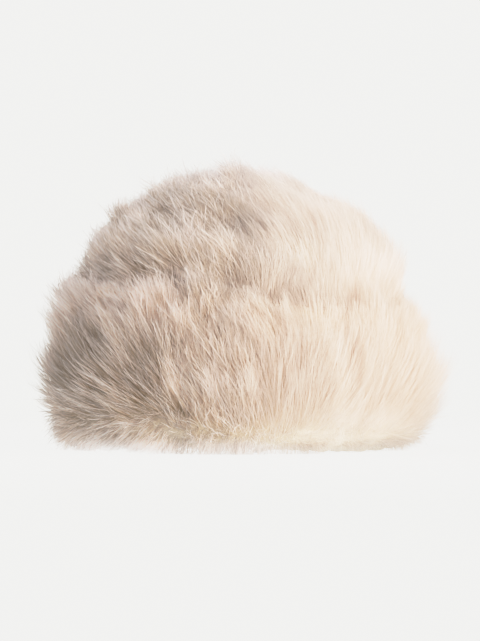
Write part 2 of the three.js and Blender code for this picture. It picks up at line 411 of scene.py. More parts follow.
@dataclass
class CrownForm:
    """The crown's under-fur as a surface: a dome over the head's hollow.

    Places are (u, v): the way from the apex laid flat, so that the apex is no special place.
    A ramp named for a side is over the cosine of the bearing, 1 at the right.
    """

    pelt: Pelt
    depth: float = 152 * MM
    pile: float = 25 * MM
    mass: float = 0.4
    swell: float = 0.07
    dip_share: float = 0.6
    deepest: float = 0.38
    rises: tuple[float, ...] = (0, 0.33, 0.6, 0.7, 0.79, 0.875, 0.945, 0.985, 1)
    reaches: tuple[float, ...] = (1, 1.01, 1.015, 0.975, 0.85, 0.69, 0.45, 0.23, 0)
    hollows: tuple[Hollow, ...] = (
        Hollow(224, 0.41, 0.7, 0.05),
        Hollow(247, 0.44, 0.6, 0.26),
        Hollow(237, 0.64, 1.1, 0.22),
        Hollow(262, 0.64, 0.7, 0.1),
        Hollow(279, 0.51, 0.5, 0.12),
        Hollow(270, 0.6, 0.85, 0.32),
        Hollow(268, 0.38, 0.5, 0.12),
        Hollow(292, 0.43, 0.5, 0.14),
        Hollow(304, 0.5, 0.5, 0.08),
        Hollow(20, 0.6, 0.9, 0.22),
        Hollow(75, 0.55, 0.8, 0.24),
        Hollow(120, 0.7, 0.9, 0.22),
        Hollow(170, 0.55, 0.8, 0.24),
    )
    nap_slant: float = -0.36
    nap_fan: float = 0.36
    nap_swirl: float = 0.4
    apex_lay: tuple[float, float, float] = (-0.072, 0.252, 0.0)
    # Painted light and shade: paler on the key-lit right, darker on the shaded left, a painted highlight at
    # the top, painted shade in the crease; calm also evens the colour on the lit side as painted light.
    pale_side: Ramp = Ramp(0.15, 0.8)
    calm_side: Ramp = Ramp(-0.45, 0.4)
    tan_side: Ramp = Ramp(0.2, 0.6)
    top: Ramp = Ramp(160 * MM, 195 * MM)
    top_calm: float = 0.6
    top_highlight: float = 0.7
    far_frost: Ramp = Ramp(-5 * MM, 35 * MM)
    crease: Ramp = Ramp(8 * MM, 20 * MM)
    shoulder: Ramp = Ramp(110 * MM, 140 * MM)
    above_shoulder: Ramp = Ramp(150 * MM, 175 * MM)
    flattened: float = 0.35
    uneven: float = 0.16
    seats_below_crest: float = 9 * MM
    coats: tuple[Coat, ...] = (
        Coat(90 * MM, 21 * MM, 10 * MM, 3.0),
        Coat(120 * MM, 21 * MM, 12 * MM, 5.0),
        Coat(150 * MM, 20 * MM, 9.5 * MM, 6.0),
        Coat(175 * MM, 19 * MM, 12 * MM, 4.0),
        Coat(206 * MM, 13 * MM, 10 * MM, 3.0),
    )

    def __post_init__(self) -> None:
        """Works out the profile from the apex down."""
        points = np.stack([self.reaches, self.rises], axis=-1)
        points = points * np.array([self.pelt.half_width, self.depth])
        self.curve = spline(points)[::-1]
        self.run = run_of(self.curve)
        self.length = float(self.run[-1])
        self.slope = unit(np.gradient(self.curve, self.run, axis=0))

    def skin_point(self, u: Array, v: Array, lift: Array) -> Array:
        """Points lifted off the head's hollow, at places u, v.

        Args:
            u: The places' first coordinate.
            v: The places' second coordinate.
            lift: How far off the hollow each point is.

        Returns:
            The points.
        """
        away = np.maximum(np.hypot(u, v), 1e-9)
        cosine, sine = u / away, v / away
        reach = np.interp(away, self.run, self.curve[:, 0])
        rise = np.interp(away, self.run, self.curve[:, 1])
        out = np.interp(away, self.run, self.slope[:, 0])
        down = np.interp(away, self.run, self.slope[:, 1])
        oval = self.pelt.ovalness
        normal = unit(np.stack([-oval * cosine * down, -sine * down, oval * out], axis=-1))
        base = np.stack([reach * cosine, reach * oval * sine, self.pelt.rim_height + rise], axis=-1)
        return base + normal * np.asarray(lift)[..., None]

    def dip(self, u: Array, v: Array) -> Array:
        """How deep the hollows between tufts are, in piles, at places u, v.

        Args:
            u: The places' first coordinate.
            v: The places' second coordinate.

        Returns:
            One depth for each place.
        """
        here = self.skin_point(u, v, np.full_like(u, self.pile))
        total = np.zeros_like(u)
        for hollow in self.hollows:
            angle = np.radians([hollow.bearing])
            away = (1 - hollow.rise) * self.length
            centre = self.skin_point(away * np.cos(angle), away * np.sin(angle), np.array([self.pile]))
            total += hollow.depth * bell(np.linalg.norm(here - centre, axis=-1), hollow.spread * self.pile)
        return total

    def patches(self, u: Array, v: Array, size: float, shift: int, seed: int) -> Array:
        """Random swells of a size over places u, v; the shift is its own for each pattern."""
        return lattice_noise(u / size + shift, v / size + shift, seed)

    def point(self, u: Array, v: Array) -> Array:
        """Points on the under-fur at places u, v.

        Args:
            u: The places' first coordinate.
            v: The places' second coordinate.

        Returns:
            The points.
        """
        swell = self.patches(u, v, 17 * MM, 31, seed=5)
        full = self.pile * (self.mass + self.swell * swell - self.dip_share * self.dip(u, v))
        return self.skin_point(u, v, self.pelt.skin + self.pelt.gap + full)

    def seats(self, u: Array, v: Array) -> Seats:
        """Where strands stand at places u, v, and how the nap lies there.

        Args:
            u: The places' first coordinate.
            v: The places' second coordinate.

        Returns:
            The seats.
        """
        step = 1 * MM
        here = self.point(u, v)
        normal = unit(np.cross(self.point(u + step, v) - here, self.point(u, v + step) - here))
        upward = np.array([0, 0, 1.0]) + np.array(self.apex_lay)
        nap = unit(upward - (normal @ upward)[:, None] * normal)
        across = unit(np.cross(nap, normal))
        bearing = bearing_of(here)
        round_way = np.stack([-np.sin(bearing), np.cos(bearing), np.zeros_like(bearing)], axis=-1)
        turned = np.sign(np.sum(across * round_way, axis=-1, keepdims=True))
        across = across * np.where(turned == 0, 1, turned)
        swirl = self.patches(u, v, 30 * MM, 11, seed=34)
        fan = self.nap_slant + self.nap_fan * np.cos(bearing) + self.nap_swirl * swirl
        nap = unit(nap + fan[:, None] * across)
        return Seats(here, normal, nap, across, self.length - np.hypot(u, v), *self.tones(u, v, here))

    def tones(self, u: Array, v: Array, here: Array) -> tuple[Array, Array, Array]:
        """How the fur looks at places u, v, with painted light and shade.

        Args:
            u: The places' first coordinate.
            v: The places' second coordinate.
            here: The points of the under-fur there.

        Returns:
            Shade, calm and frost, as seats hold them.
        """
        bearing = bearing_of(here)
        side = np.cos(bearing)
        top = self.top(self.length - np.hypot(u, v))
        calm = np.maximum(self.calm_side(side), self.top_calm * top)
        patch = self.patches(u, v, 16 * MM, 47, seed=35)
        mottle = self.patches(u, v, 11 * MM, 53, seed=36)
        # Painted shade in the crease over the cuff's crest, in patches, fading on the calm lit side.
        crease = (1 - self.crease(here[:, 2] - self.pelt.cuff_top(bearing))) * (0.4 + 0.6 * patch)
        # Painted shade down in the hollows, and painted light on the key-lit right side.
        shade = self.dip(u, v) / self.deepest + crease * (1 - 0.85 * calm) - 0.3 * self.pale_side(side)
        # Painted shade on the shaded left side, except near the top.
        shade = shade + 0.15 * self.tan_side(-side) * (1 - top)
        # Darker random mottling, fading out on the calm lit side as painted light.
        shade = shade + (0.2 + 0.32 * mottle) * (1 - 0.8 * calm)
        # Whiter towards the back, and a painted highlight at the top.
        return np.clip(shade, -1, 1), calm, np.maximum(self.far_frost(v), self.top_highlight * top)

    def fullness(self, seats: Seats) -> Array:
        """How long the hair is at each seat against its coat, in broad soft patches.

        Args:
            seats: Where the strands stand.

        Returns:
            Lengths, as shares of the coat's.
        """
        place = seats.point / (24 * MM)
        broad = lattice_noise(place[:, 0] + place[:, 2] + 20, place[:, 1] + 20, seed=41)
        fine = lattice_noise(place[:, 0] * 2 + place[:, 2] * 2 + 30, place[:, 1] * 2 + 30, seed=44)
        side = np.maximum(np.cos(bearing_of(seats.point)), -0.15)
        shoulder = self.shoulder(seats.run) * (1 - self.above_shoulder(seats.run))
        return (1 + self.uneven * broad + self.uneven * fine) * (1 - self.flattened * side * shoulder)

    def spots(self, spacing: float, rng: np.random.Generator, jitter: float = 0.4) -> Seats:
        """Seats spread evenly over the crown above the cuff.

        Args:
            spacing: Distance between neighbours, in metres.
            rng: The source of chance.
            jitter: How far each may stray, in spacings.

        Returns:
            The seats.
        """
        rows = np.arange(spacing / 2, self.length * 0.75, spacing)
        widened = self.pelt.half_width * 0.25 * np.minimum(rows / self.length * 2, 1)
        radii = np.interp(rows, self.run, self.curve[:, 0]) * 1.09 + widened
        bearing, away = scatter(rows, radii, spacing, rng, jitter)
        away = np.abs(away)
        found = self.seats(away * np.cos(bearing), away * np.sin(bearing))
        crest = self.pelt.cuff_top(bearing_of(found.point))
        return found.part(found.point[:, 2] > crest - self.seats_below_crest)


@dataclass
class CuffForm:
    """The cuff's under-fur as a surface: its outline from under the rim, up, and over the crest.

    The outline's columns are the share of the way up to the skin's top, a rise past either
    end in millimetres, and the share of the pile's depth outside the skin. lay_low, lay_middle
    and lay_high say how far the nap swings round the hat at lay_places, which are cosines of
    the bearing, as in every ramp named for a side. A ramp named for the body or the hem is
    over the way above the parting, and one named for the crest over the way past the end.
    """

    pelt: Pelt
    pile: float = 31 * MM
    parting: float = 11 * MM
    parting_rise: float = 10 * MM
    parting_drop: float = 5 * MM
    parting_waves: float = 5 * MM
    parting_ripples: float = 4 * MM
    hem_lift: float = 2.6 * MM
    swell: float = 1.6 * MM
    bulge: float = 4.5 * MM
    outline: tuple[tuple[float, float, float], ...] = (
        (0.0, -8.8, -0.36),
        (0.0, -9.3, -0.04),
        (0.0, -7.0, 0.15),
        (0.01, -2.5, 0.28),
        (0.08, 0.0, 0.37),
        (0.16, 0.0, 0.4),
        (0.36, 0.0, 0.42),
        (0.62, 0.0, 0.42),
        (0.86, 0.0, 0.4),
        (1.0, -1.0, 0.36),
        (1.0, 3.0, 0.26),
        (1.0, 4.0, 0.12),
        (1.0, 3.0, 0.02),
        (1.0, 0.3, -0.02),
    )
    lay_places: tuple[float, ...] = (-1, -0.79, -0.65, -0.5, -0.37, -0.1, 0.2, 0.33, 0.47, 0.74, 1)
    lay_low: tuple[float, ...] = (-1.2, -1.3, -1.15, -0.6, -0.38, -0.25, -0.15, -0.1, 0.1, 0.0, 0.0)
    lay_middle: tuple[float, ...] = (-0.5, -0.5, -0.34, -0.24, -0.03, -0.08, -0.06, -0.05, 0.05, -0.1, 0.0)
    lay_high: tuple[float, ...] = (-1.0, -1.0, -0.75, -0.5, -0.2, -0.25, -0.6, -0.4, -0.3, -0.3, 0.0)
    nap_swirl: float = 0.25
    # Painted light and shade: paler on the key-lit right, painted shade low on the bright side, darker on
    # the shaded left; calm also evens the colour on the lit side as painted light.
    pale_side: Ramp = Ramp(0.4, 0.85)
    bright_side: Ramp = Ramp(0.0, 0.5)
    calm_side: Ramp = Ramp(-0.45, 0.4)
    tan_side: Ramp = Ramp(0.45, 0.8)
    turned_side: Ramp = Ramp(0.0, 0.4)
    full_side: Ramp = Ramp(0.55, 0.95)
    thin_side: Ramp = Ramp(0.6, 0.95)
    body: Ramp = Ramp(2 * MM, 22 * MM)
    hem: Ramp = Ramp(-22 * MM, -5 * MM)
    hem_fringe: Ramp = Ramp(-15 * MM, -7 * MM)
    crest_nap: Ramp = Ramp(-45 * MM, -20 * MM)
    # Painted top light along the crest, on the left side.
    crest_top_light: Ramp = Ramp(-38 * MM, -20 * MM)
    crest_ragged: Ramp = Ramp(-42 * MM, -28 * MM)
    # Spots of painted shade where the fur dips; a depth below nothing paints light on a full tuft.
    shade_spots: tuple[Hollow, ...] = (
        Hollow(231, 0.62, 0.017, 0.25),
        Hollow(226, 0.45, 0.016, 0.5),
        Hollow(245, 0.28, 0.014, 0.5),
        Hollow(253, 0.23, 0.013, 0.4),
        Hollow(238, 0.44, 0.014, 0.35),
        Hollow(256, 0.33, 0.010, -0.12),
        Hollow(206, 0.4, 0.026, 0.65),
        Hollow(250, 0.52, 0.026, 0.35),
        Hollow(232, 0.37, 0.014, 0.4),
        Hollow(254, 0.84, 0.013, 0.4),
        Hollow(263, 0.7, 0.028, 0.25),
    )
    coats: tuple[Coat, ...] = (
        Coat(12 * MM, 6.5 * MM, 3 * MM, 0.0),
        Coat(20 * MM, 8.5 * MM, 5 * MM, 2.0),
        Coat(28 * MM, 12 * MM, 9 * MM, 2.0),
        Coat(36 * MM, 18 * MM, 13 * MM, 2.0),
        Coat(42 * MM, 27 * MM, 18 * MM, 0.0),
        Coat(56 * MM, 28 * MM, 17 * MM, 2.0),
        Coat(78 * MM, 27 * MM, 16 * MM, 4.0),
        Coat(90 * MM, 19 * MM, 13 * MM, 5.0),
        Coat(102 * MM, 15 * MM, 8.5 * MM, 5.0),
        Coat(120 * MM, 12 * MM, 5 * MM, 5.0),
    )

    def __post_init__(self) -> None:
        """Works out the outline as curves over its own length."""
        table = np.array(self.outline)
        shape = np.stack(
            [
                table[:, 0] * self.pelt.cuff_height + table[:, 1] * MM,
                self.pelt.fold_reach * (1 + 0.06 * table[:, 0]) + self.pile * table[:, 2],
            ],
            axis=-1,
        )
        fine = spline(shape)
        self.run = run_of(fine)
        self.reach = fine[:, 1]
        self.climb = spline(table[:, :2])
        self.length = float(self.run[-1])

    def point(self, bearing: Array, run: Array) -> Array:
        """Points on the under-fur at a bearing and a way along the outline.

        Args:
            bearing: The places' bearings.
            run: How far along the outline they are.

        Returns:
            The points.
        """
        share = np.interp(run, self.run, self.climb[:, 0])
        extra = np.interp(run, self.run, self.climb[:, 1]) * MM
        top = self.pelt.cuff_top(bearing) - self.pelt.fold_height
        height = self.pelt.fold_height + share * top + extra
        swell = self.swell * ring_noise(bearing, run / (26 * MM) + 9, 64, seed=8)
        reach = np.interp(run, self.run, self.reach) + swell * smooth_step(height, 10 * MM, 30 * MM)
        low = smooth_step(height, 2 * MM, 10 * MM) * (1 - smooth_step(run, 45 * MM, 90 * MM))
        reach = reach + self.bulge * self.full_side(np.abs(np.cos(bearing))) * low
        ragged = 1 + ring_noise(bearing, bearing * 0 + 5, 128, seed=9)
        height = height + self.hem_lift * ragged * (1 - smooth_step(height, 0, 10 * MM))
        return self.pelt.outside(bearing, reach, np.maximum(height, 0.05 * MM))

    def lay(self, bearing: Array, run: Array) -> Array:
        """How far the nap swings round the hat from straight up, as a slope.

        Args:
            bearing: The places' bearings.
            run: How far along the outline they are.

        Returns:
            One slope for each place.
        """
        place = np.cos(bearing)
        low, middle, high = (
            np.interp(place, self.lay_places, row) for row in (self.lay_low, self.lay_middle, self.lay_high)
        )
        lower = np.clip((run - 45 * MM) / (25 * MM), 0, 1)
        upper = np.clip((run - 70 * MM) / (22 * MM), 0, 1)
        return (low + (middle - low) * lower) * (1 - upper) + high * upper

    def mark(self, bearing: Array, run: Array) -> Array:
        """How much painted shade, or painted light, the spots give the hair.

        Args:
            bearing: The places' bearings.
            run: How far along the outline they are.

        Returns:
            What the spots add to the painted shade at each place.
        """
        total = np.zeros_like(run)
        for spot in self.shade_spots:
            aside = (bearing - math.radians(spot.bearing) + math.pi) % TURN - math.pi
            away = np.hypot(aside * self.pelt.half_depth * 1.35, run - spot.rise * self.length)
            total += spot.depth * bell(away, spot.spread)
        return total

    def parting_run(self, bearing: Array) -> Array:
        """The way along the outline to the parting above the rim: higher on one side, lower on the other.

        Args:
            bearing: The places' bearings.

        Returns:
            How far along the outline the parting is.
        """
        height = self.pelt.fold_height + self.climb[:, 0] * self.pelt.cuff_height + self.climb[:, 1] * MM
        outer = self.run[: len(self.run) * 2 // 3]
        level = float(outer[np.argmin(np.abs(height[: len(outer)] - self.parting))])
        rise = self.parting_rise * smooth_step(-np.cos(bearing), 0.2, 0.5)
        return level + rise - self.parting_drop * smooth_step(np.cos(bearing), 0.1, 0.5)

    def seats(self, bearing: Array, run: Array) -> Seats:
        """Where strands stand at a bearing and a way along the outline, and how the nap lies.

        Args:
            bearing: The places' bearings.
            run: How far along the outline they are.

        Returns:
            The seats.
        """
        step = 1 * MM
        here = self.point(bearing, run)
        up = unit(self.point(bearing, run + step) - self.point(bearing, run - step))
        round_way = unit(self.point(bearing + 0.01, run) - self.point(bearing - 0.01, run))
        normal = unit(np.cross(round_way, up))
        waves = self.parting_waves * ring_noise(bearing, run / (6 * MM), 64, seed=15)
        waves = waves + self.parting_ripples * ring_noise(bearing, run / (3 * MM), 192, seed=16)
        above = run + waves - self.parting_run(bearing)
        stray = ring_noise(bearing, run / (0.6 * MM), 4096, seed=17)
        way = np.clip(above / (5 * MM) + 1.2 * stray, -1, 1)[:, None]
        crest = self.crest_nap(run - self.length)[:, None]
        upright = np.array([0, 0, 1.0]) * crest
        swirl = ring_noise(bearing, run / (30 * MM), 32, seed=33)
        fan = (self.lay(bearing, run) + self.nap_swirl * swirl)[:, None]
        turn = 0.8 * self.turned_side(np.cos(bearing))[:, None] * (1 - np.abs(way))
        nap = up * way * (1 - 0.4 * crest) + 0.6 * upright
        nap = unit(nap + (np.abs(way) * fan + turn) * round_way)
        nap = nap * np.maximum(np.abs(way) ** 0.7, turn)
        shade, calm = self.tones(bearing, run, above)
        return Seats(here, normal, nap, round_way, run, shade, calm, self.frost_and_light(bearing, run))

    def tones(self, bearing: Array, run: Array, above: Array) -> tuple[Array, Array]:
        """How much painted shade and light the fur gets, and how smooth it lies.

        Args:
            bearing: The places' bearings.
            run: How far along the outline they are.
            above: How far above the wavy parting they are.

        Returns:
            Shade and calm, as seats hold them.
        """
        side = np.cos(bearing)
        off = run - self.parting_run(bearing)
        patch = ring_noise(bearing, run / (40 * MM), 32, seed=37)
        speck = ring_noise(bearing, run / (4 * MM), 256, seed=38)
        # Painted shade in the parting, in patches and specks.
        parting_shade = bell(above - 3 * MM, 7 * MM) * (0.4 + 0.9 * patch) * (1 + 1.2 * speck)
        bright, body, calm = self.bright_side(side), self.body(off), self.calm_side(side)
        # The parting's painted shade fades on the calm lit side; painted light pales the key-lit right above
        # the parting.
        shade = parting_shade * (1 - 0.85 * calm) - 0.3 * self.pale_side(side) * body
        # Paler below the parting towards the hem, partly a pale fringe and partly painted light, except on
        # the bright side, where painted shade falls under the body.
        shade = shade - 0.5 * (1 - self.hem(off)) * (1 - bright) + 0.4 * bright * (1 - body)
        # Painted shade on the shaded left side, except at the crest.
        shade = shade + 0.4 * self.tan_side(-side) * (1 - self.crest_nap(run - self.length))
        # The spots' painted shade and painted light.
        shade = shade + self.mark(bearing, run)
        calm = calm - 0.5 * bell(above, 9 * MM) * (1 - calm)
        return np.clip(shade, -1, 1), calm

    def frost_and_light(self, bearing: Array, run: Array) -> Array:
        """How white the fur is, partly a pale fringe and partly painted light: whitish towards the hem, but
        less so on one side.

        Args:
            bearing: The places' bearings.
            run: How far along the outline they are.

        Returns:
            How white each place is, up to 1.
        """
        side = np.cos(bearing)
        off = run - self.parting_run(bearing)
        reach = 11 * MM - 9 * MM * smooth_step(side, 0.05, 0.45)
        hem = 1 - smooth_step(off, -5 * MM, reach)
        hem = hem * (0.4 + 0.5 * smooth_step(side, -0.5, -0.15) - 0.5 * smooth_step(side, 0.05, 0.5))
        fringe = (1 - self.hem_fringe(off)) * (1 - 0.4 * smooth_step(side, 0.25, 0.5))
        # Painted top light along the crest on the left side.
        crest = 0.35 * self.crest_top_light(run - self.length) * (1 - smooth_step(side, -0.45, -0.1))
        return np.maximum(np.maximum(hem, fringe), crest)

    def fullness(self, seats: Seats) -> Array:
        """How long the hair is at each seat against its coat; ragged along the crest.

        Args:
            seats: Where the strands stand.

        Returns:
            Lengths, as shares of the coat's.
        """
        bearing, run = bearing_of(seats.point), seats.run
        side = np.cos(bearing)
        patch = ring_noise(bearing, run / (24 * MM), 32, seed=42)
        fine = ring_noise(bearing, run / (9 * MM), 64, seed=43)
        crest = self.crest_ragged(run - self.length)
        hem = 1 - smooth_step(run, 22 * MM, 36 * MM)
        low = 0.2 * (1 - smooth_step(run, 55 * MM, 80 * MM)) + 0.1 * (1 - smooth_step(run, 40 * MM, 55 * MM))
        full = low * self.full_side(side) - 0.15 * self.thin_side(-side)
        short = 0.16 * smooth_step(side, -0.65, -0.2) * smooth_step(run, 36 * MM, 50 * MM)
        ragged = (0.3 * patch + 0.35 * fine) * (1 - 0.7 * np.maximum(seats.calm, 0))
        uneven = 0.12 * patch + 0.12 * fine + 0.4 * (fine + patch) * hem
        return 1 + full - short * (1 - crest) + uneven + np.maximum(ragged, -0.15) * crest

    def spots(self, spacing: float, rng: np.random.Generator, jitter: float = 0.4) -> Seats:
        """Seats spread evenly over the cuff, from under the rim to inside the crest.

        Args:
            spacing: Distance between neighbours, in metres.
            rng: The source of chance.
            jitter: How far each may stray, in spacings.

        Returns:
            The seats.
        """
        low = float(self.run[np.argmax(self.reach > self.pelt.fold_reach + 0.2 * self.pile)])
        rows = np.arange(low, self.length - 3 * MM, spacing)
        radii = (self.pelt.half_width + self.pelt.half_depth) / 2 + np.interp(rows, self.run, self.reach)
        bearing, run = scatter(rows, radii, spacing, rng, jitter)
        return self.seats(bearing % TURN, np.clip(run, low, self.length - 2 * MM))


Form = CrownForm | CuffForm


@dataclass
class Growth:
    """Strands as paths: points along each, their tones, the guard hairs, and the seats they stand on."""

    path: Array
    tone: Array
    guard: Array
    seats: Seats

    def part(self, chosen: Array) -> "Growth":
        """The strands that an index or a mask picks."""
        return Growth(self.path[chosen], self.tone[chosen], self.guard[chosen], self.seats.part(chosen))

    def alongs(self, t: Array) -> Array:
        """The colour's place between root and tip along each strand.

        Args:
            t: Shares of the way along a strand.

        Returns:
            0 where the root's colour is, 0.8 where the tip's is, and 1 where frost's is.
        """
        calm, brushed = np.maximum(self.seats.calm, 0)[:, None], self.seats.brushed[:, None]
        shade, frost_and_light = self.seats.shade[:, None], self.seats.frost_and_light[:, None]
        # Painted shade pulls the colour towards the root, and painted light towards the tip.
        alongs = t * (1 - 0.5 * np.maximum(shade, 0)) + (1 - t) * 0.7 * np.maximum(-shade, 0)
        alongs = np.where(self.guard[:, None], np.maximum(alongs, 0.65 + 0.35 * t), alongs)
        # Where calm, on the lit side, the colour is evened towards a pale middle, as painted light.
        alongs = alongs + (0.74 - alongs) * (0.8 + 0.15 * brushed) * calm
        # Frost and painted light mix in the near-white colour.
        return 0.8 * alongs * (1 - frost_and_light) + (0.7 + 0.3 * t) * frost_and_light


@dataclass
class Hairdresser:
    """Grows strands over a form: tufts first, then wisps drawn to tufts, then hairs drawn to wisps.

    Spacings and widths are in metres. tuft and wisp are how far strands draw together
    towards their guide's tip, unruly is how much tufts lean apart, stray how much hairs do,
    and guards is the share of longer, paler strands. stand is how far tufts stand off against
    their coat, tamed how much less a brushed one leans, longest the most that a strand may be
    of its coat's length, and sunk how deep its root stands in the under-fur. Those named for
    sizes, rises and tones are how much they vary, and those named for a guard hair say how
    much longer, higher, wider and paler it is than others, and how much it keeps to its wisp.
    """

    seed: int
    tuft_spacing: float = 13 * MM
    wisp_spacing: float = 3.0 * MM
    hair_spacing: float = 1.02 * MM
    tuft: float = 0.32
    wisp: float = 0.46
    unruly: float = 0.28
    stray: float = 0.24
    frizz: float = 1.3 * MM
    guards: float = 0.16
    root_width: float = 0.33 * MM
    tuft_sizes: float = 0.08
    wisp_sizes: float = 0.1
    hair_sizes: float = 0.1
    wisp_rises: float = 0.13
    hair_rises: float = 0.1
    tuft_tones: float = 0.12
    wisp_tones: float = 0.13
    hair_tones: float = 0.27
    guard_size: float = 1.15
    guard_rise: float = 1.06
    guard_width: float = 1.3
    guard_tone: float = 0.35
    guard_hold: float = 0.5
    stand: float = 0.95
    tamed: float = 0.85
    longest: float = 1.55
    sunk: float = 1.2 * MM
    twist: float = 0.4
    floor_gap: float = 0.2 * MM
    map_strips: int = 48
    stations: tuple[float, ...] = (0.0, 0.3, 0.56, 0.8, 1.0)
    taper: tuple[float, ...] = (0.85, 1.0, 0.86, 0.52)

    def paths(self, form: Form, seats: Seats, size: Array, bend: Array, stand: Array) -> Array:
        """Plain paths from seats, as the form's coats say.

        Args:
            form: Gives the coats.
            seats: Where the strands stand.
            size: Each strand's size against its coat's, as a share.
            bend: How far each tip swings sideways, as a share of the length.
            stand: How far each stands off against its coat, as a share.

        Returns:
            Points, one row of stations for each strand.
        """
        t = np.array(self.stations)
        table = np.array([(coat.at, coat.length, coat.rise, coat.bow) for coat in form.coats])
        length, rise, bow = (np.interp(seats.run, table[:, 0], column) for column in table.T[1:])
        size = size * (1 - 0.3 * np.maximum(seats.shade, 0)) * form.fullness(seats)
        size = np.minimum(size, self.longest)
        length = length * size
        along = length[:, None] * t
        lift = 0.6 * np.sin(t * math.pi / 2) + 0.4 * t
        off = (rise * size * stand)[:, None] * lift - bow[:, None] * along**2 - self.sunk
        side = bend[:, None] * length[:, None] * t**2
        return (
            seats.point[:, None]
            + seats.nap[:, None] * along[..., None]
            + seats.normal[:, None] * off[..., None]
            + seats.across[:, None] * side[..., None]
        )

    @staticmethod
    def nearest(points: Array, targets: Array) -> Array:
        """The number of the target nearest to each point.

        Args:
            points: The points.
            targets: The targets.

        Returns:
            One target's number for each point.
        """
        tree = kdtree.KDTree(len(targets))
        for i, place in enumerate(targets):
            tree.insert(place, i)
        tree.balance()
        return np.array([tree.find(place)[1] for place in points])

    def draw_to(self, path: Array, guide: Array, pull: Array) -> Array:
        """Paths drawn towards guides, more so towards their tips."""
        share = pull[:, None] * np.array(self.stations) ** 1.3
        return path + (guide - path) * share[..., None]

    def grow(self, form: Form) -> Growth:
        """Strands for a whole form.

        Args:
            form: The crown's or the cuff's under-fur.

        Returns:
            The strands.
        """
        rng = np.random.default_rng(self.seed)
        tufts = form.spots(self.tuft_spacing, rng)
        count = len(tufts.run)
        tuft_size = rng.normal(1, self.tuft_sizes, count)
        tuft_stand = np.clip(rng.normal(self.stand, 0.5 * self.unruly, count), 0.5, 1.2)
        tuft_stand = tuft_stand + (self.stand - tuft_stand) * 0.7 * tufts.calm
        bend = rng.normal(0, self.unruly, count) * (1 - self.tamed * tufts.brushed)
        tuft_path = self.paths(form, tufts, tuft_size, bend, tuft_stand)
        tuft_tone = rng.normal(0, self.tuft_tones, count)

        wisps = form.spots(self.wisp_spacing, rng)
        own = self.nearest(wisps.point, tufts.point)
        count = len(wisps.run)
        wisp_size = tuft_size[own] * rng.normal(1, self.wisp_sizes, count)
        uneven = rng.normal(0, self.wisp_rises, count) * (1 - 0.5 * wisps.calm)
        wisp_stand = tuft_stand[own] * (1 + uneven)
        bend = rng.normal(0, 0.9 * self.unruly, count) * (1 - self.tamed * wisps.brushed)
        path = self.paths(form, wisps, wisp_size, bend, wisp_stand)
        pull = self.tuft * rng.uniform(0.6, 1.3, count) * (1 - 0.9 * wisps.calm)
        wisp_path = self.draw_to(path, tuft_path[own], pull)
        wisp_tone = tuft_tone[own] + rng.normal(0, self.wisp_tones, count)

        hairs = form.spots(self.hair_spacing, rng, jitter=0.6)
        own = self.nearest(hairs.point, wisps.point)
        count = len(hairs.run)
        guard = rng.random(count) < self.guards * (1.5 - hairs.calm)
        rough = 1 - 0.65 * hairs.calm
        loose = 1 - 0.7 * hairs.brushed
        size = wisp_size[own] * (1 + rng.normal(0, self.hair_sizes, count) * rough)
        size = size * np.where(guard, self.guard_size, 1)
        stand = wisp_stand[own] * rng.normal(1, self.hair_rises, count) * np.where(guard, self.guard_rise, 1)
        path = self.paths(form, hairs, size, rng.normal(0, self.stray, count) * loose, stand)
        pull = self.wisp * rng.uniform(0.7, 1.25, count) * np.where(guard, self.guard_hold, 1)
        path = self.draw_to(path, wisp_path[own], pull * (1 - 0.8 * hairs.calm))
        t = np.array(self.stations)
        drift = rng.normal(0, self.frizz, (count, 1, 3)) * t[:, None] ** 1.5 * loose[:, None, None]
        wave = rng.normal(0, self.frizz * 0.4, (count, len(t), 3)) * t[:, None] * loose[:, None, None]
        # Tones vary at random, less so where calm on the lit side, as painted light; painted shade darkens
        # them.
        tone = 0.75 * wisp_tone[own] + rng.normal(0, self.hair_tones, count)
        tone = 0.5 + tone * rough - 0.35 * hairs.shade + np.where(guard, self.guard_tone * rough, 0)
        return Growth(path + drift + wave, np.clip(tone, 0, 1), guard, hairs)

    def pieces(self, form: Form, label: str, count: int) -> list[Piece]:
        """The form's strands as meshes, each a stretch round the hat.

        Args:
            form: The crown's or the cuff's under-fur.
            label: The start of the pieces' names.
            count: How many pieces.

        Returns:
            The objects.
        """
        growth = self.grow(form)
        order = np.argsort(bearing_of(growth.seats.point))
        rng = np.random.default_rng(self.seed + 1)
        return [
            self.ribbons(f"{label}_{number + 1}", growth.part(chosen), rng)
            for number, chosen in enumerate(np.array_split(order, count))
        ]

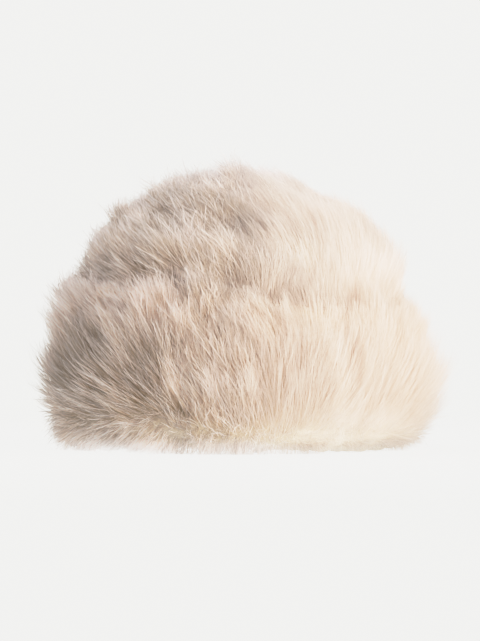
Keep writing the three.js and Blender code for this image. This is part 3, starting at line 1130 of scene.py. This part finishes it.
    def ribbons(self, name: str, growth: Growth, rng: np.random.Generator) -> Piece:
        """Flat tapering ribbons along strands, as one mesh.

        Args:
            name: The piece's name.
            growth: The strands.
            rng: The source of chance.

        Returns:
            The object. Its corners carry tone and along, and its map is laid out by them, so
            that strands of one tone share one strip of the map.
        """
        path, seats = growth.path, growth.seats
        count, stations = path.shape[:2]
        corners = 2 * stations - 1
        way = unit(np.gradient(path, axis=1))
        side = unit(np.cross(way, seats.normal[:, None]))
        lift = unit(np.cross(side, way))
        twist = rng.normal(0, self.twist, (count, 1, 1))
        side = side * np.cos(twist) + lift * np.sin(twist)
        calm, brushed = np.maximum(seats.calm, 0)[:, None], seats.brushed[:, None]
        weight = (2.5 + 4 * calm + 4 * brushed)[..., None]
        noise = rng.normal(0, 0.2, (count, 1, 3)) * (1 - 0.8 * calm[..., None])
        soft = unit(lift + weight * seats.normal[:, None] + noise)
        wide = self.root_width * rng.uniform(0.7, 1.25, (count, 1)) * np.array(self.taper)
        wide = wide * np.where(growth.guard, self.guard_width, 1)[:, None] * (1 - 0.3 * brushed)
        half = side[:, :-1] * wide[..., None] / 2
        points = np.empty((count, corners, 3))
        points[:, 0:-1:2] = path[:, :-1] - half
        points[:, 1:-1:2] = path[:, :-1] + half
        points[:, -1] = path[:, -1]
        points[..., 2] = np.maximum(points[..., 2], self.floor_gap)
        quads = [(2 * k, 2 * k + 1, 2 * k + 3, 2 * k + 2) for k in range(stations - 2)]
        tip = (corners - 3, corners - 2, corners - 1)
        pattern = np.array([corner for quad in quads for corner in quad] + list(tip))
        loops = (np.arange(count)[:, None] * corners + pattern).ravel()
        firsts = np.arange(len(quads) + 1) * 4
        starts = (np.arange(count)[:, None] * len(pattern) + firsts).ravel()
        piece = new_mesh(name, points.reshape(-1, 3), loops, starts)
        normals = np.repeat(soft, 2, axis=1)[:, :-1].reshape(-1, 3)
        piece.data.normals_split_custom_set_from_vertices(normals.astype(np.float32))
        alongs = growth.alongs(np.repeat(np.array(self.stations), 2)[:-1])
        tones = np.repeat(growth.tone[:, None], corners, axis=1)
        give_values(piece, "along", alongs)
        give_values(piece, "tone", tones)
        edge = np.where(np.arange(corners) % 2 == 0, -0.4, 0.4) / self.map_strips
        edge[-1] = 0
        places = np.stack([0.02 + 0.96 * tones + edge, 0.02 + 0.96 * alongs], axis=-1)
        give_map(piece, "OFBake", places[:, pattern])
        return piece


@dataclass
class NodeTree:
    """A short way to put shader nodes into a tree and link them."""

    tree: bpy.types.NodeTree

    def add(self, kind: str, inputs: dict | None = None, **settings: object) -> bpy.types.Node:
        """A new node.

        Args:
            kind: The node's kind.
            inputs: A value, or the output to link, by the input's name or number.
            settings: The node's settings.

        Returns:
            The node.
        """
        node = self.tree.nodes.new(kind)
        for name, value in settings.items():
            setattr(node, name, value)
        for key, value in (inputs or {}).items():
            if isinstance(value, Output):
                self.join(value, node.inputs[key])
            else:
                node.inputs[key].default_value = value
        return node

    def join(self, source: Output, target: bpy.types.NodeSocket) -> None:
        """Links an output to an input."""
        self.tree.links.new(source, target)

    def group(self, shared: bpy.types.NodeTree, inputs: dict) -> bpy.types.Node:
        """A shared effect, with its own inputs."""
        return self.add("ShaderNodeGroup", inputs, node_tree=shared)

    def mix(self, share: object, first: bpy.types.Node, second: bpy.types.Node) -> Output:
        """Two shaders mixed, by the second one's share."""
        inputs = {0: share, 1: first.outputs[0], 2: second.outputs[0]}
        return self.add("ShaderNodeMixShader", inputs).outputs[0]


class Effects:
    """The shader effects that are node groups, each built once."""

    @staticmethod
    def start(
        name: str, inputs: dict[str, Socket], outputs: dict[str, Socket]
    ) -> tuple[NodeTree, bpy.types.NodeOutputs, bpy.types.Node]:
        """An empty node group.

        Args:
            name: The group's name.
            inputs: Socket kinds by name.
            outputs: Socket kinds by name.

        Returns:
            The tree, what it is given, and its output node.
        """
        tree = bpy.data.node_groups.new(name, "ShaderNodeTree")
        for way, sockets in (("INPUT", inputs), ("OUTPUT", outputs)):
            for label, kind in sockets.items():
                tree.interface.new_socket(name=label, in_out=way, socket_type=kind.value)
        nodes = NodeTree(tree)
        return nodes, nodes.add("NodeGroupInput").outputs, nodes.add("NodeGroupOutput")

    def fibre_tint(self) -> bpy.types.NodeTree:
        """Colour of hair from its root at 0 to its tip at 0.8 and frost and painted light at 1, lighter or
        darker by tone.

        Returns:
            The node group.
        """
        kinds = dict.fromkeys(("Along", "Tone", "Spread"), Socket.FLOAT)
        kinds |= dict.fromkeys(("Root", "Middle", "Tip", "FrostAndLight"), Socket.COLOUR)
        nodes, given, out = self.start("FibreTint", kinds, {"Color": Socket.COLOUR})
        colour = given["Root"]
        for target, start, end in (("Middle", 0.0, 0.44), ("Tip", 0.32, 0.8), ("FrostAndLight", 0.8, 1.0)):
            ends = {"Value": given["Along"], "From Min": start, "From Max": end}
            share = nodes.add("ShaderNodeMapRange", ends, interpolation_type="SMOOTHSTEP")
            ends = {"Factor": share.outputs["Result"], 6: colour, 7: given[target]}
            colour = nodes.add("ShaderNodeMix", ends, data_type="RGBA").outputs[2]
        centred = nodes.add("ShaderNodeMath", {0: given["Tone"], 1: 0.5}, operation="SUBTRACT")
        terms = {0: centred.outputs[0], 1: given["Spread"], 2: 1.0}
        gain = nodes.add("ShaderNodeMath", terms, operation="MULTIPLY_ADD")
        scale = nodes.add("ShaderNodeVectorMath", {0: colour, "Scale": gain.outputs[0]}, operation="SCALE")
        nodes.join(scale.outputs[0], out.inputs["Color"])
        return nodes.tree

    def nap_grain(self) -> bpy.types.NodeTree:
        """Fine short fibres, as a mask and a height.

        Returns:
            The node group.
        """
        kinds = {"Vector": Socket.VECTOR, "Scale": Socket.FLOAT}
        nodes, given, out = self.start("NapGrain", kinds, dict.fromkeys(("Mask", "Height"), Socket.FLOAT))
        broad = {"Vector": given["Vector"], "Scale": 38, "Detail": 4}
        fine = {"Vector": given["Vector"], "Scale": given["Scale"], "Detail": 6, "Roughness": 0.7}
        for label, look in (("Mask", broad), ("Height", fine)):
            nodes.join(nodes.add("ShaderNodeTexNoise", look).outputs["Fac"], out.inputs[label])
        return nodes.tree


@dataclass(frozen=True)
class Finish:
    """What every finish has: a name, its roughness and its faint sheen."""

    name: str
    roughness: float
    sheen: float

    def surface(self) -> tuple[Material, NodeTree, bpy.types.Node, bpy.types.Node]:
        """A material with a Principled shader.

        Returns:
            The material, its nodes, the shader and the output.
        """
        material = bpy.data.materials.new(self.name)
        material.use_nodes = True
        material.node_tree.nodes.clear()
        nodes = NodeTree(material.node_tree)
        look = {"Roughness": self.roughness, "Sheen Weight": self.sheen, "Sheen Roughness": 0.45}
        shader = nodes.add("ShaderNodeBsdfPrincipled", {**look, "Specular IOR Level": 0.25})
        output = nodes.add("ShaderNodeOutputMaterial", {"Surface": shader.outputs[0]})
        return material, nodes, shader, output

    @staticmethod
    def bump(
        nodes: NodeTree, shader: bpy.types.Node, height: Output, strength: float, depth: float
    ) -> None:
        """Raises a height on a shader."""
        look = {"Strength": strength, "Distance": depth, "Height": height}
        nodes.join(nodes.add("ShaderNodeBump", look).outputs[0], shader.inputs["Normal"])


@dataclass(frozen=True)
class FurFinish(Finish):
    """What fur's finishes share: their colours along a hair, and how far tones spread."""

    root: Colour
    middle: Colour
    tip: Colour
    frost_and_light: Colour
    spread: float

    def tinted(self, nodes: NodeTree, tint: bpy.types.NodeTree, along: Output, tone: Output) -> Output:
        """Adds the shared tint in this finish's colours.

        Args:
            nodes: The material's nodes.
            tint: The shared tint.
            along: The place along a hair.
            tone: How light the hair is.

        Returns:
            The colour.
        """
        ends = {"Root": self.root, "Middle": self.middle, "Tip": self.tip, "FrostAndLight": self.frost_and_light}
        inputs = {"Along": along, "Tone": tone, "Spread": self.spread}
        inputs |= {name: (*end, 1) for name, end in ends.items()}
        return nodes.group(tint, inputs).outputs["Color"]


@dataclass(frozen=True)
class HairFinish(FurFinish):
    """Long fine hair, tan at the root and pale at the tip, that lets some light through."""

    root: Colour = (0.58, 0.46, 0.32)
    middle: Colour = (0.80, 0.686, 0.59)
    tip: Colour = (0.967, 0.905, 0.882)
    # Near white, for frost and painted light.
    frost_and_light: Colour = (0.965, 0.94, 0.945)
    spread: float = 0.65
    glow: float = 0.58

    def make(self, tint: bpy.types.NodeTree) -> Material:
        """Builds the finish's nodes.

        Args:
            tint: The shared tint.

        Returns:
            The material.
        """
        material, nodes, shader, output = self.surface()
        along = nodes.add("ShaderNodeAttribute", attribute_name="along")
        tone = nodes.add("ShaderNodeAttribute", attribute_name="tone")
        colour = self.tinted(nodes, tint, along.outputs["Fac"], tone.outputs["Fac"])
        nodes.join(colour, shader.inputs["Base Color"])
        through = nodes.add("ShaderNodeBsdfTranslucent", {"Color": colour})
        nodes.join(nodes.mix(self.glow, shader, through), output.inputs["Surface"])
        return material


@dataclass(frozen=True)
class UnderfurFinish(FurFinish):
    """The dense short fur between the tufts: tan, streaked along the nap."""

    root: Colour = (0.39, 0.305, 0.20)
    middle: Colour = (0.55, 0.45, 0.34)
    tip: Colour = (0.70, 0.60, 0.50)
    # Near white, for frost and painted light.
    frost_and_light: Colour = (0.92, 0.87, 0.86)
    spread: float = 0.8
    streaks_round: float = 620
    streaks_along: float = 30
    patch_scale: float = 45

    def make(self, tint: bpy.types.NodeTree) -> Material:
        """Builds the finish's nodes.

        Args:
            tint: The shared tint.

        Returns:
            The material.
        """
        material, nodes, shader, _ = self.surface()
        wrap = nodes.add("ShaderNodeUVMap", uv_map="Wrap").outputs["UV"]
        scale = (self.streaks_round, self.streaks_along, 1)
        stretch = nodes.add("ShaderNodeMapping", {"Vector": wrap, "Scale": scale}).outputs[0]
        streak = nodes.add("ShaderNodeTexNoise", {"Vector": stretch, "Scale": 1, "Detail": 3}).outputs["Fac"]
        place = nodes.add("ShaderNodeTexCoord").outputs["Object"]
        patch = nodes.add("ShaderNodeTexNoise", {"Vector": place, "Scale": self.patch_scale})
        scaled = nodes.add("ShaderNodeMath", {0: streak, 1: 0.8}, operation="MULTIPLY")
        # The under-fur's frost and painted light, stored at its corners.
        white = nodes.add("ShaderNodeAttribute", attribute_name="frost_and_light")
        ends = {"Factor": white.outputs["Fac"], 2: scaled.outputs[0], 3: 1.0}
        along = nodes.add("ShaderNodeMix", ends, data_type="FLOAT").outputs[0]
        colour = self.tinted(nodes, tint, along, patch.outputs["Fac"])
        nodes.join(colour, shader.inputs["Base Color"])
        self.bump(nodes, shader, streak, 0.7, 0.8 * MM)
        return material


@dataclass(frozen=True)
class SuedeFinish(Finish):
    """The pelt's flesh side: soft napped leather, a little blotched."""

    pale: Colour = (0.66, 0.53, 0.40)
    deep: Colour = (0.50, 0.375, 0.26)
    grain_scale: float = 1500

    def make(self, grain: bpy.types.NodeTree) -> Material:
        """Builds the finish's nodes.

        Args:
            grain: The shared grain.

        Returns:
            The material.
        """
        material, nodes, shader, _ = self.surface()
        place = nodes.add("ShaderNodeTexCoord").outputs["Object"]
        nap = nodes.group(grain, {"Vector": place, "Scale": self.grain_scale})
        ramp = nodes.add("ShaderNodeValToRGB", {"Fac": nap.outputs["Mask"]})
        for stop, position, colour in zip(ramp.color_ramp.elements, (0.32, 0.66), (self.deep, self.pale)):
            stop.position = position
            stop.color = (*colour, 1)
        nodes.join(ramp.outputs["Color"], shader.inputs["Base Color"])
        self.bump(nodes, shader, nap.outputs["Height"], 0.35, 0.3 * MM)
        return material


@dataclass(frozen=True)
class FloorFinish(Finish):
    """A plain pale floor that fades into the backdrop away from the hat."""

    shade: Colour = (0.06, 0.06, 0.06)
    own_light: float = 1.38
    bounce: float = 1.2
    near: float = 0.3
    far: float = 0.9

    def make(self) -> Material:
        """Builds the finish's nodes.

        Returns:
            The material.
        """
        material, nodes, shader, output = self.surface()
        shader.inputs["Base Color"].default_value = (*self.shade, 1)
        shader.inputs["Emission Color"].default_value = (1, 1, 0.955, 1)
        ray = nodes.add("ShaderNodeLightPath").outputs["Is Camera Ray"]
        terms = {0: ray, 1: self.own_light - self.bounce, 2: self.bounce}
        seen = nodes.add("ShaderNodeMath", terms, operation="MULTIPLY_ADD")
        nodes.join(seen.outputs[0], shader.inputs["Emission Strength"])
        place = nodes.add("ShaderNodeTexCoord").outputs["Object"]
        distance = nodes.add("ShaderNodeVectorMath", {0: place}, operation="LENGTH").outputs["Value"]
        ends = {"Value": distance, "From Min": self.near, "From Max": self.far}
        fade = nodes.add("ShaderNodeMapRange", ends, interpolation_type="SMOOTHSTEP")
        clear = nodes.add("ShaderNodeBsdfTransparent")
        nodes.join(nodes.mix(fade.outputs["Result"], shader, clear), output.inputs["Surface"])
        return material


@dataclass
class FurPelt:
    """What crown and cuff share: a name, a form, a hairdresser, and how many pieces of hair."""

    label: str
    form: Form
    dresser: Hairdresser
    stretches: int = 3

    def under_fur(self) -> Piece:
        """The dense fur next to the skin, as a closed shell."""
        raise NotImplementedError

    def build(self, hair: Material, under: Material) -> list[Piece]:
        """Every piece of the fur.

        Args:
            hair: The strands' material.
            under: The under-fur's material.

        Returns:
            The pieces.
        """
        base = self.under_fur()
        base.data.materials.append(under)
        strands = self.dresser.pieces(self.form, f"{self.label}_hair", self.stretches)
        for piece in strands:
            piece.data.materials.append(hair)
        return [base, *strands]


@dataclass
class CrownPelt(FurPelt):
    """The crown's fur; behind the cuff it lies pressed flat.

    crease is how far down the form the loose fur ends, as a share, and slope is how fast the
    fur may widen over the cuff's crest.
    """

    columns: int = 120
    rows: int = 84
    pressed_rows: int = 12
    inner_rows: int = 40
    crease: float = 0.62
    pressed: float = 0.9
    clearance: float = 1.6 * MM
    slope: float = 0.4

    def skin_ring(self, places: Array, lift: float) -> Array:
        """A ring at places, lifted off the head's hollow."""
        return self.form.skin_point(*places, np.full_like(places[0], lift))

    def under_fur(self) -> Piece:
        """The dense fur next to the skin, as a closed shell down to the rim.

        Returns:
            The shell.
        """
        form, pelt = self.form, self.form.pelt
        bearing = np.arange(self.columns) / self.columns * TURN
        around = np.stack([np.cos(bearing), np.sin(bearing)])
        apex = np.zeros((2, 1))
        backing = pelt.skin + pelt.gap
        crease = form.length * self.crease
        outer = [apex] + [away * around for away in np.linspace(0, crease, self.rows)[1:]]
        rings = [form.point(*places) for places in outer]
        for away in np.linspace(crease, form.length, self.pressed_rows)[1:]:
            rings.append(self.skin_ring(away * around, backing + pelt.trapped_pile * self.pressed))
        rings = [self.clear_of_cuff(ring) for ring in rings]
        inner = [away * around for away in np.linspace(form.length, 0, self.inner_rows)[:-1]]
        rings += [self.skin_ring(places, backing) for places in [*inner, apex]]
        shell = loft("crown_under_fur", rings)
        # Painted light on the key-lit right side of the under-fur.
        whiten(shell)
        return shell

    def clear_of_cuff(self, ring: Array) -> Array:
        """A ring drawn in where it would stand in the cuff.

        Args:
            ring: The ring's points.

        Returns:
            The points, drawn in.
        """
        pelt = self.form.pelt
        bearing = np.arctan2(ring[:, 1] / pelt.half_depth, ring[:, 0] / pelt.half_width)
        top = pelt.cuff_top(bearing)
        radius = np.hypot(ring[:, 0], ring[:, 1])
        inside = pelt.outside(bearing, np.full_like(bearing, pelt.fold_reach - self.clearance), ring[:, 2])
        limit = np.hypot(inside[:, 0], inside[:, 1])
        slope = np.maximum(ring[:, 2] - top - pelt.crest_rise, 0) / self.slope
        share = np.minimum(1, (limit + slope) / np.maximum(radius, 1e-6))
        drawn = ring.copy()
        drawn[:, :2] *= share[:, None]
        return drawn


@dataclass
class CuffPelt(FurPelt):
    """The cuff's fur, outside its skin and over its top edge."""

    columns: int = 144
    rows: int = 70
    inner_rows: int = 12
    fold_rows: int = 6

    def under_fur(self) -> Piece:
        """The dense fur outside the cuff's skin and over its top edge, as a closed shell.

        Returns:
            The shell.
        """
        form, pelt = self.form, self.form.pelt
        bearing = np.arange(self.columns) / self.columns * TURN
        level = np.ones_like(bearing)
        rings, frost_and_light = [], []
        for run in np.linspace(0, form.length, self.rows):
            rings.append(form.point(bearing, run * level))
            # Less frost in the parting, as painted shade.
            parting_shade = bell(run - form.parting_run(bearing) - 2 * MM, 5 * MM)
            frost_and_light.append(form.frost_and_light(bearing, run * level) * (1 - 0.9 * parting_shade))
        backing = pelt.skin / 2 + pelt.gap
        for climb in np.linspace(1, 0.12, self.inner_rows):
            height = pelt.fold_height + climb * (pelt.cuff_top(bearing) - pelt.fold_height)
            reach = pelt.fold_reach * (1.03 + 0.05 * climb) + backing
            rings.append(pelt.outside(bearing, reach * level, height))
        for turn in np.linspace(0.15, 1, self.fold_rows):
            reach = pelt.fold_reach * (1.03 - turn) + backing * (1 - turn)
            height = pelt.fold_height - backing * min(turn * 2, 1) + (1 - min(turn * 3, 1)) * 4 * MM
            rings.append(pelt.outside(bearing, max(reach, 0.6 * MM) * level, height * level))
        frost_and_light += [level] * (len(rings) - len(frost_and_light))
        shell = loft("cuff_under_fur", rings)
        # Frost, and painted light on the key-lit right side.
        whiten(shell, np.concatenate(frost_and_light))
        return shell


@dataclass(frozen=True)
class Lamp:
    """A square soft lamp: its place and side in metres, its power and its colour."""

    name: str
    place: tuple[float, float, float]
    size: float
    power: float
    colour: Colour

    def build(self, aim: Vector) -> None:
        """The lamp, turned to its aim.

        Args:
            aim: The place that it faces.
        """
        light = bpy.data.lights.new(self.name, "AREA")
        light.size, light.energy, light.color = self.size, self.power, self.colour
        lamp = linked(self.name, light)
        lamp.location = self.place
        lamp.rotation_euler = (aim - Vector(self.place)).to_track_quat("-Z", "Y").to_euler()


@dataclass
class Studio:
    """The pale floor, the soft lights and the camera."""

    backdrop: Colour = (1.46, 1.46, 1.38)
    ambient: float = 0.335
    ambient_colour: Colour = (0.99, 0.94, 0.905)
    metres_per_pixel: float = 0.65 * MM
    floor_row: float = 449
    elevation: float = 0.5
    lens: float = 300.0
    sensor: float = 36.0
    lamps: tuple[Lamp, ...] = (
        Lamp("key", (1.52, -1.15, 0.3), 2.2, 117, (1.0, 0.83, 0.70)),
        Lamp("top", (-0.5, 0.3, 1.4), 1.0, 21, (1.0, 0.99, 1.0)),
        Lamp("front", (0.1, -1.6, 0.2), 0.8, 5, (1.0, 0.95, 0.92)),
    )
    lamp_aim: float = 90 * MM
    film: tuple[tuple[float, float], ...] = (
        (0.15, 0.3), (0.3, 0.58), (0.45, 0.755), (0.6, 0.84), (0.8, 0.9)
    )
    film_top: float = 0.93
    floor_radius: float = 1.5
    floor_sides: int = 64

    def floor(self) -> Piece:
        """A disc that the hat stands on.

        Returns:
            The disc.
        """
        corners = np.arange(self.floor_sides)
        ring = corners / self.floor_sides * TURN
        points = self.floor_radius * np.stack([np.cos(ring), np.sin(ring), 0 * ring], axis=-1)
        disc = new_mesh("floor", points, corners, np.array([0]))
        disc.data.materials.append(FloorFinish("pale_floor", 0.9, 0.0).make())
        return disc

    def world(self) -> None:
        """Soft light from all round, and the pale backdrop that the camera sees."""
        world = bpy.data.worlds.new("studio")
        bpy.context.scene.world = world
        world.use_nodes = True
        world.node_tree.nodes.clear()
        nodes = NodeTree(world.node_tree)
        ray = nodes.add("ShaderNodeLightPath").outputs["Is Camera Ray"]
        seen = nodes.add("ShaderNodeBackground", {"Color": (*self.backdrop, 1)})
        look = {"Color": (*self.ambient_colour, 1), "Strength": self.ambient}
        mixed = nodes.mix(ray, nodes.add("ShaderNodeBackground", look), seen)
        nodes.add("ShaderNodeOutputWorld", {"Surface": mixed})

    def camera(self) -> None:
        """The camera at the front, a little above the floor, framed as the picture is."""
        data = bpy.data.cameras.new("camera")
        data.lens = self.lens
        data.sensor_width = self.sensor
        camera = linked("camera", data)
        bpy.context.scene.camera = camera
        distance = IMAGE_HEIGHT * self.metres_per_pixel * self.lens / self.sensor
        tilt = math.radians(self.elevation)
        aim = Vector((0, 0, (self.floor_row - IMAGE_HEIGHT / 2) * self.metres_per_pixel / math.cos(tilt)))
        camera.location = aim + Vector((0, -math.cos(tilt), math.sin(tilt))) * distance
        camera.rotation_euler = (aim - camera.location).to_track_quat("-Z", "Y").to_euler()

    def build(self) -> None:
        """The whole studio."""
        self.camera()
        self.floor()
        self.world()
        for lamp in self.lamps:
            lamp.build(Vector((0, 0, self.lamp_aim)))
        view = bpy.context.scene.view_settings
        view.view_transform = "Standard"
        view.use_curve_mapping = True
        view.curve_mapping.white_level = (2, 2, 2)
        curve = view.curve_mapping.curves[3]
        curve.points[1].location = (1, self.film_top)
        for place in self.film:
            curve.points.new(*place)
        view.curve_mapping.update()


def main() -> None:
    """Builds the studio and every piece of the hat."""
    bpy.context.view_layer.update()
    Studio().build()
    effects = Effects()
    tint = effects.fibre_tint()
    grain = effects.nap_grain()
    cuff_hair = HairFinish("cuff_hair", 0.6, 0.25).make(tint)
    crown_hair = HairFinish(
        "crown_hair",
        0.6,
        0.25,
        root=(0.56, 0.462, 0.35),
        middle=(0.78, 0.684, 0.60),
        tip=(0.965, 0.92, 0.908),
    ).make(tint)
    under = UnderfurFinish("tan_under_fur", 0.85, 0.1).make(tint)
    suede = SuedeFinish("napped_suede", 0.9, 0.2).make(grain)
    pelt = Pelt()
    for node in ("crown_skin", "cuff_skin"):
        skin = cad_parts[node]
        skin.data.materials.clear()
        skin.data.materials.append(suede)
    crown_dresser = Hairdresser(seed=21, unruly=0.6, stray=0.32, tuft=0.55, tuft_spacing=12 * MM)
    crown = CrownPelt("crown", CrownForm(pelt), crown_dresser).build(crown_hair, under)
    cuff = CuffPelt("cuff", CuffForm(pelt), Hairdresser(seed=47)).build(cuff_hair, under)
    for pieces, node in ((crown, "crown_fur"), (cuff, "cuff_fur")):
        for piece in pieces:
            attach(piece, BODY)
            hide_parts(node)
            log.info("%s: %d faces", piece.name, len(piece.data.polygons))


if __name__ == "__main__":
    main()
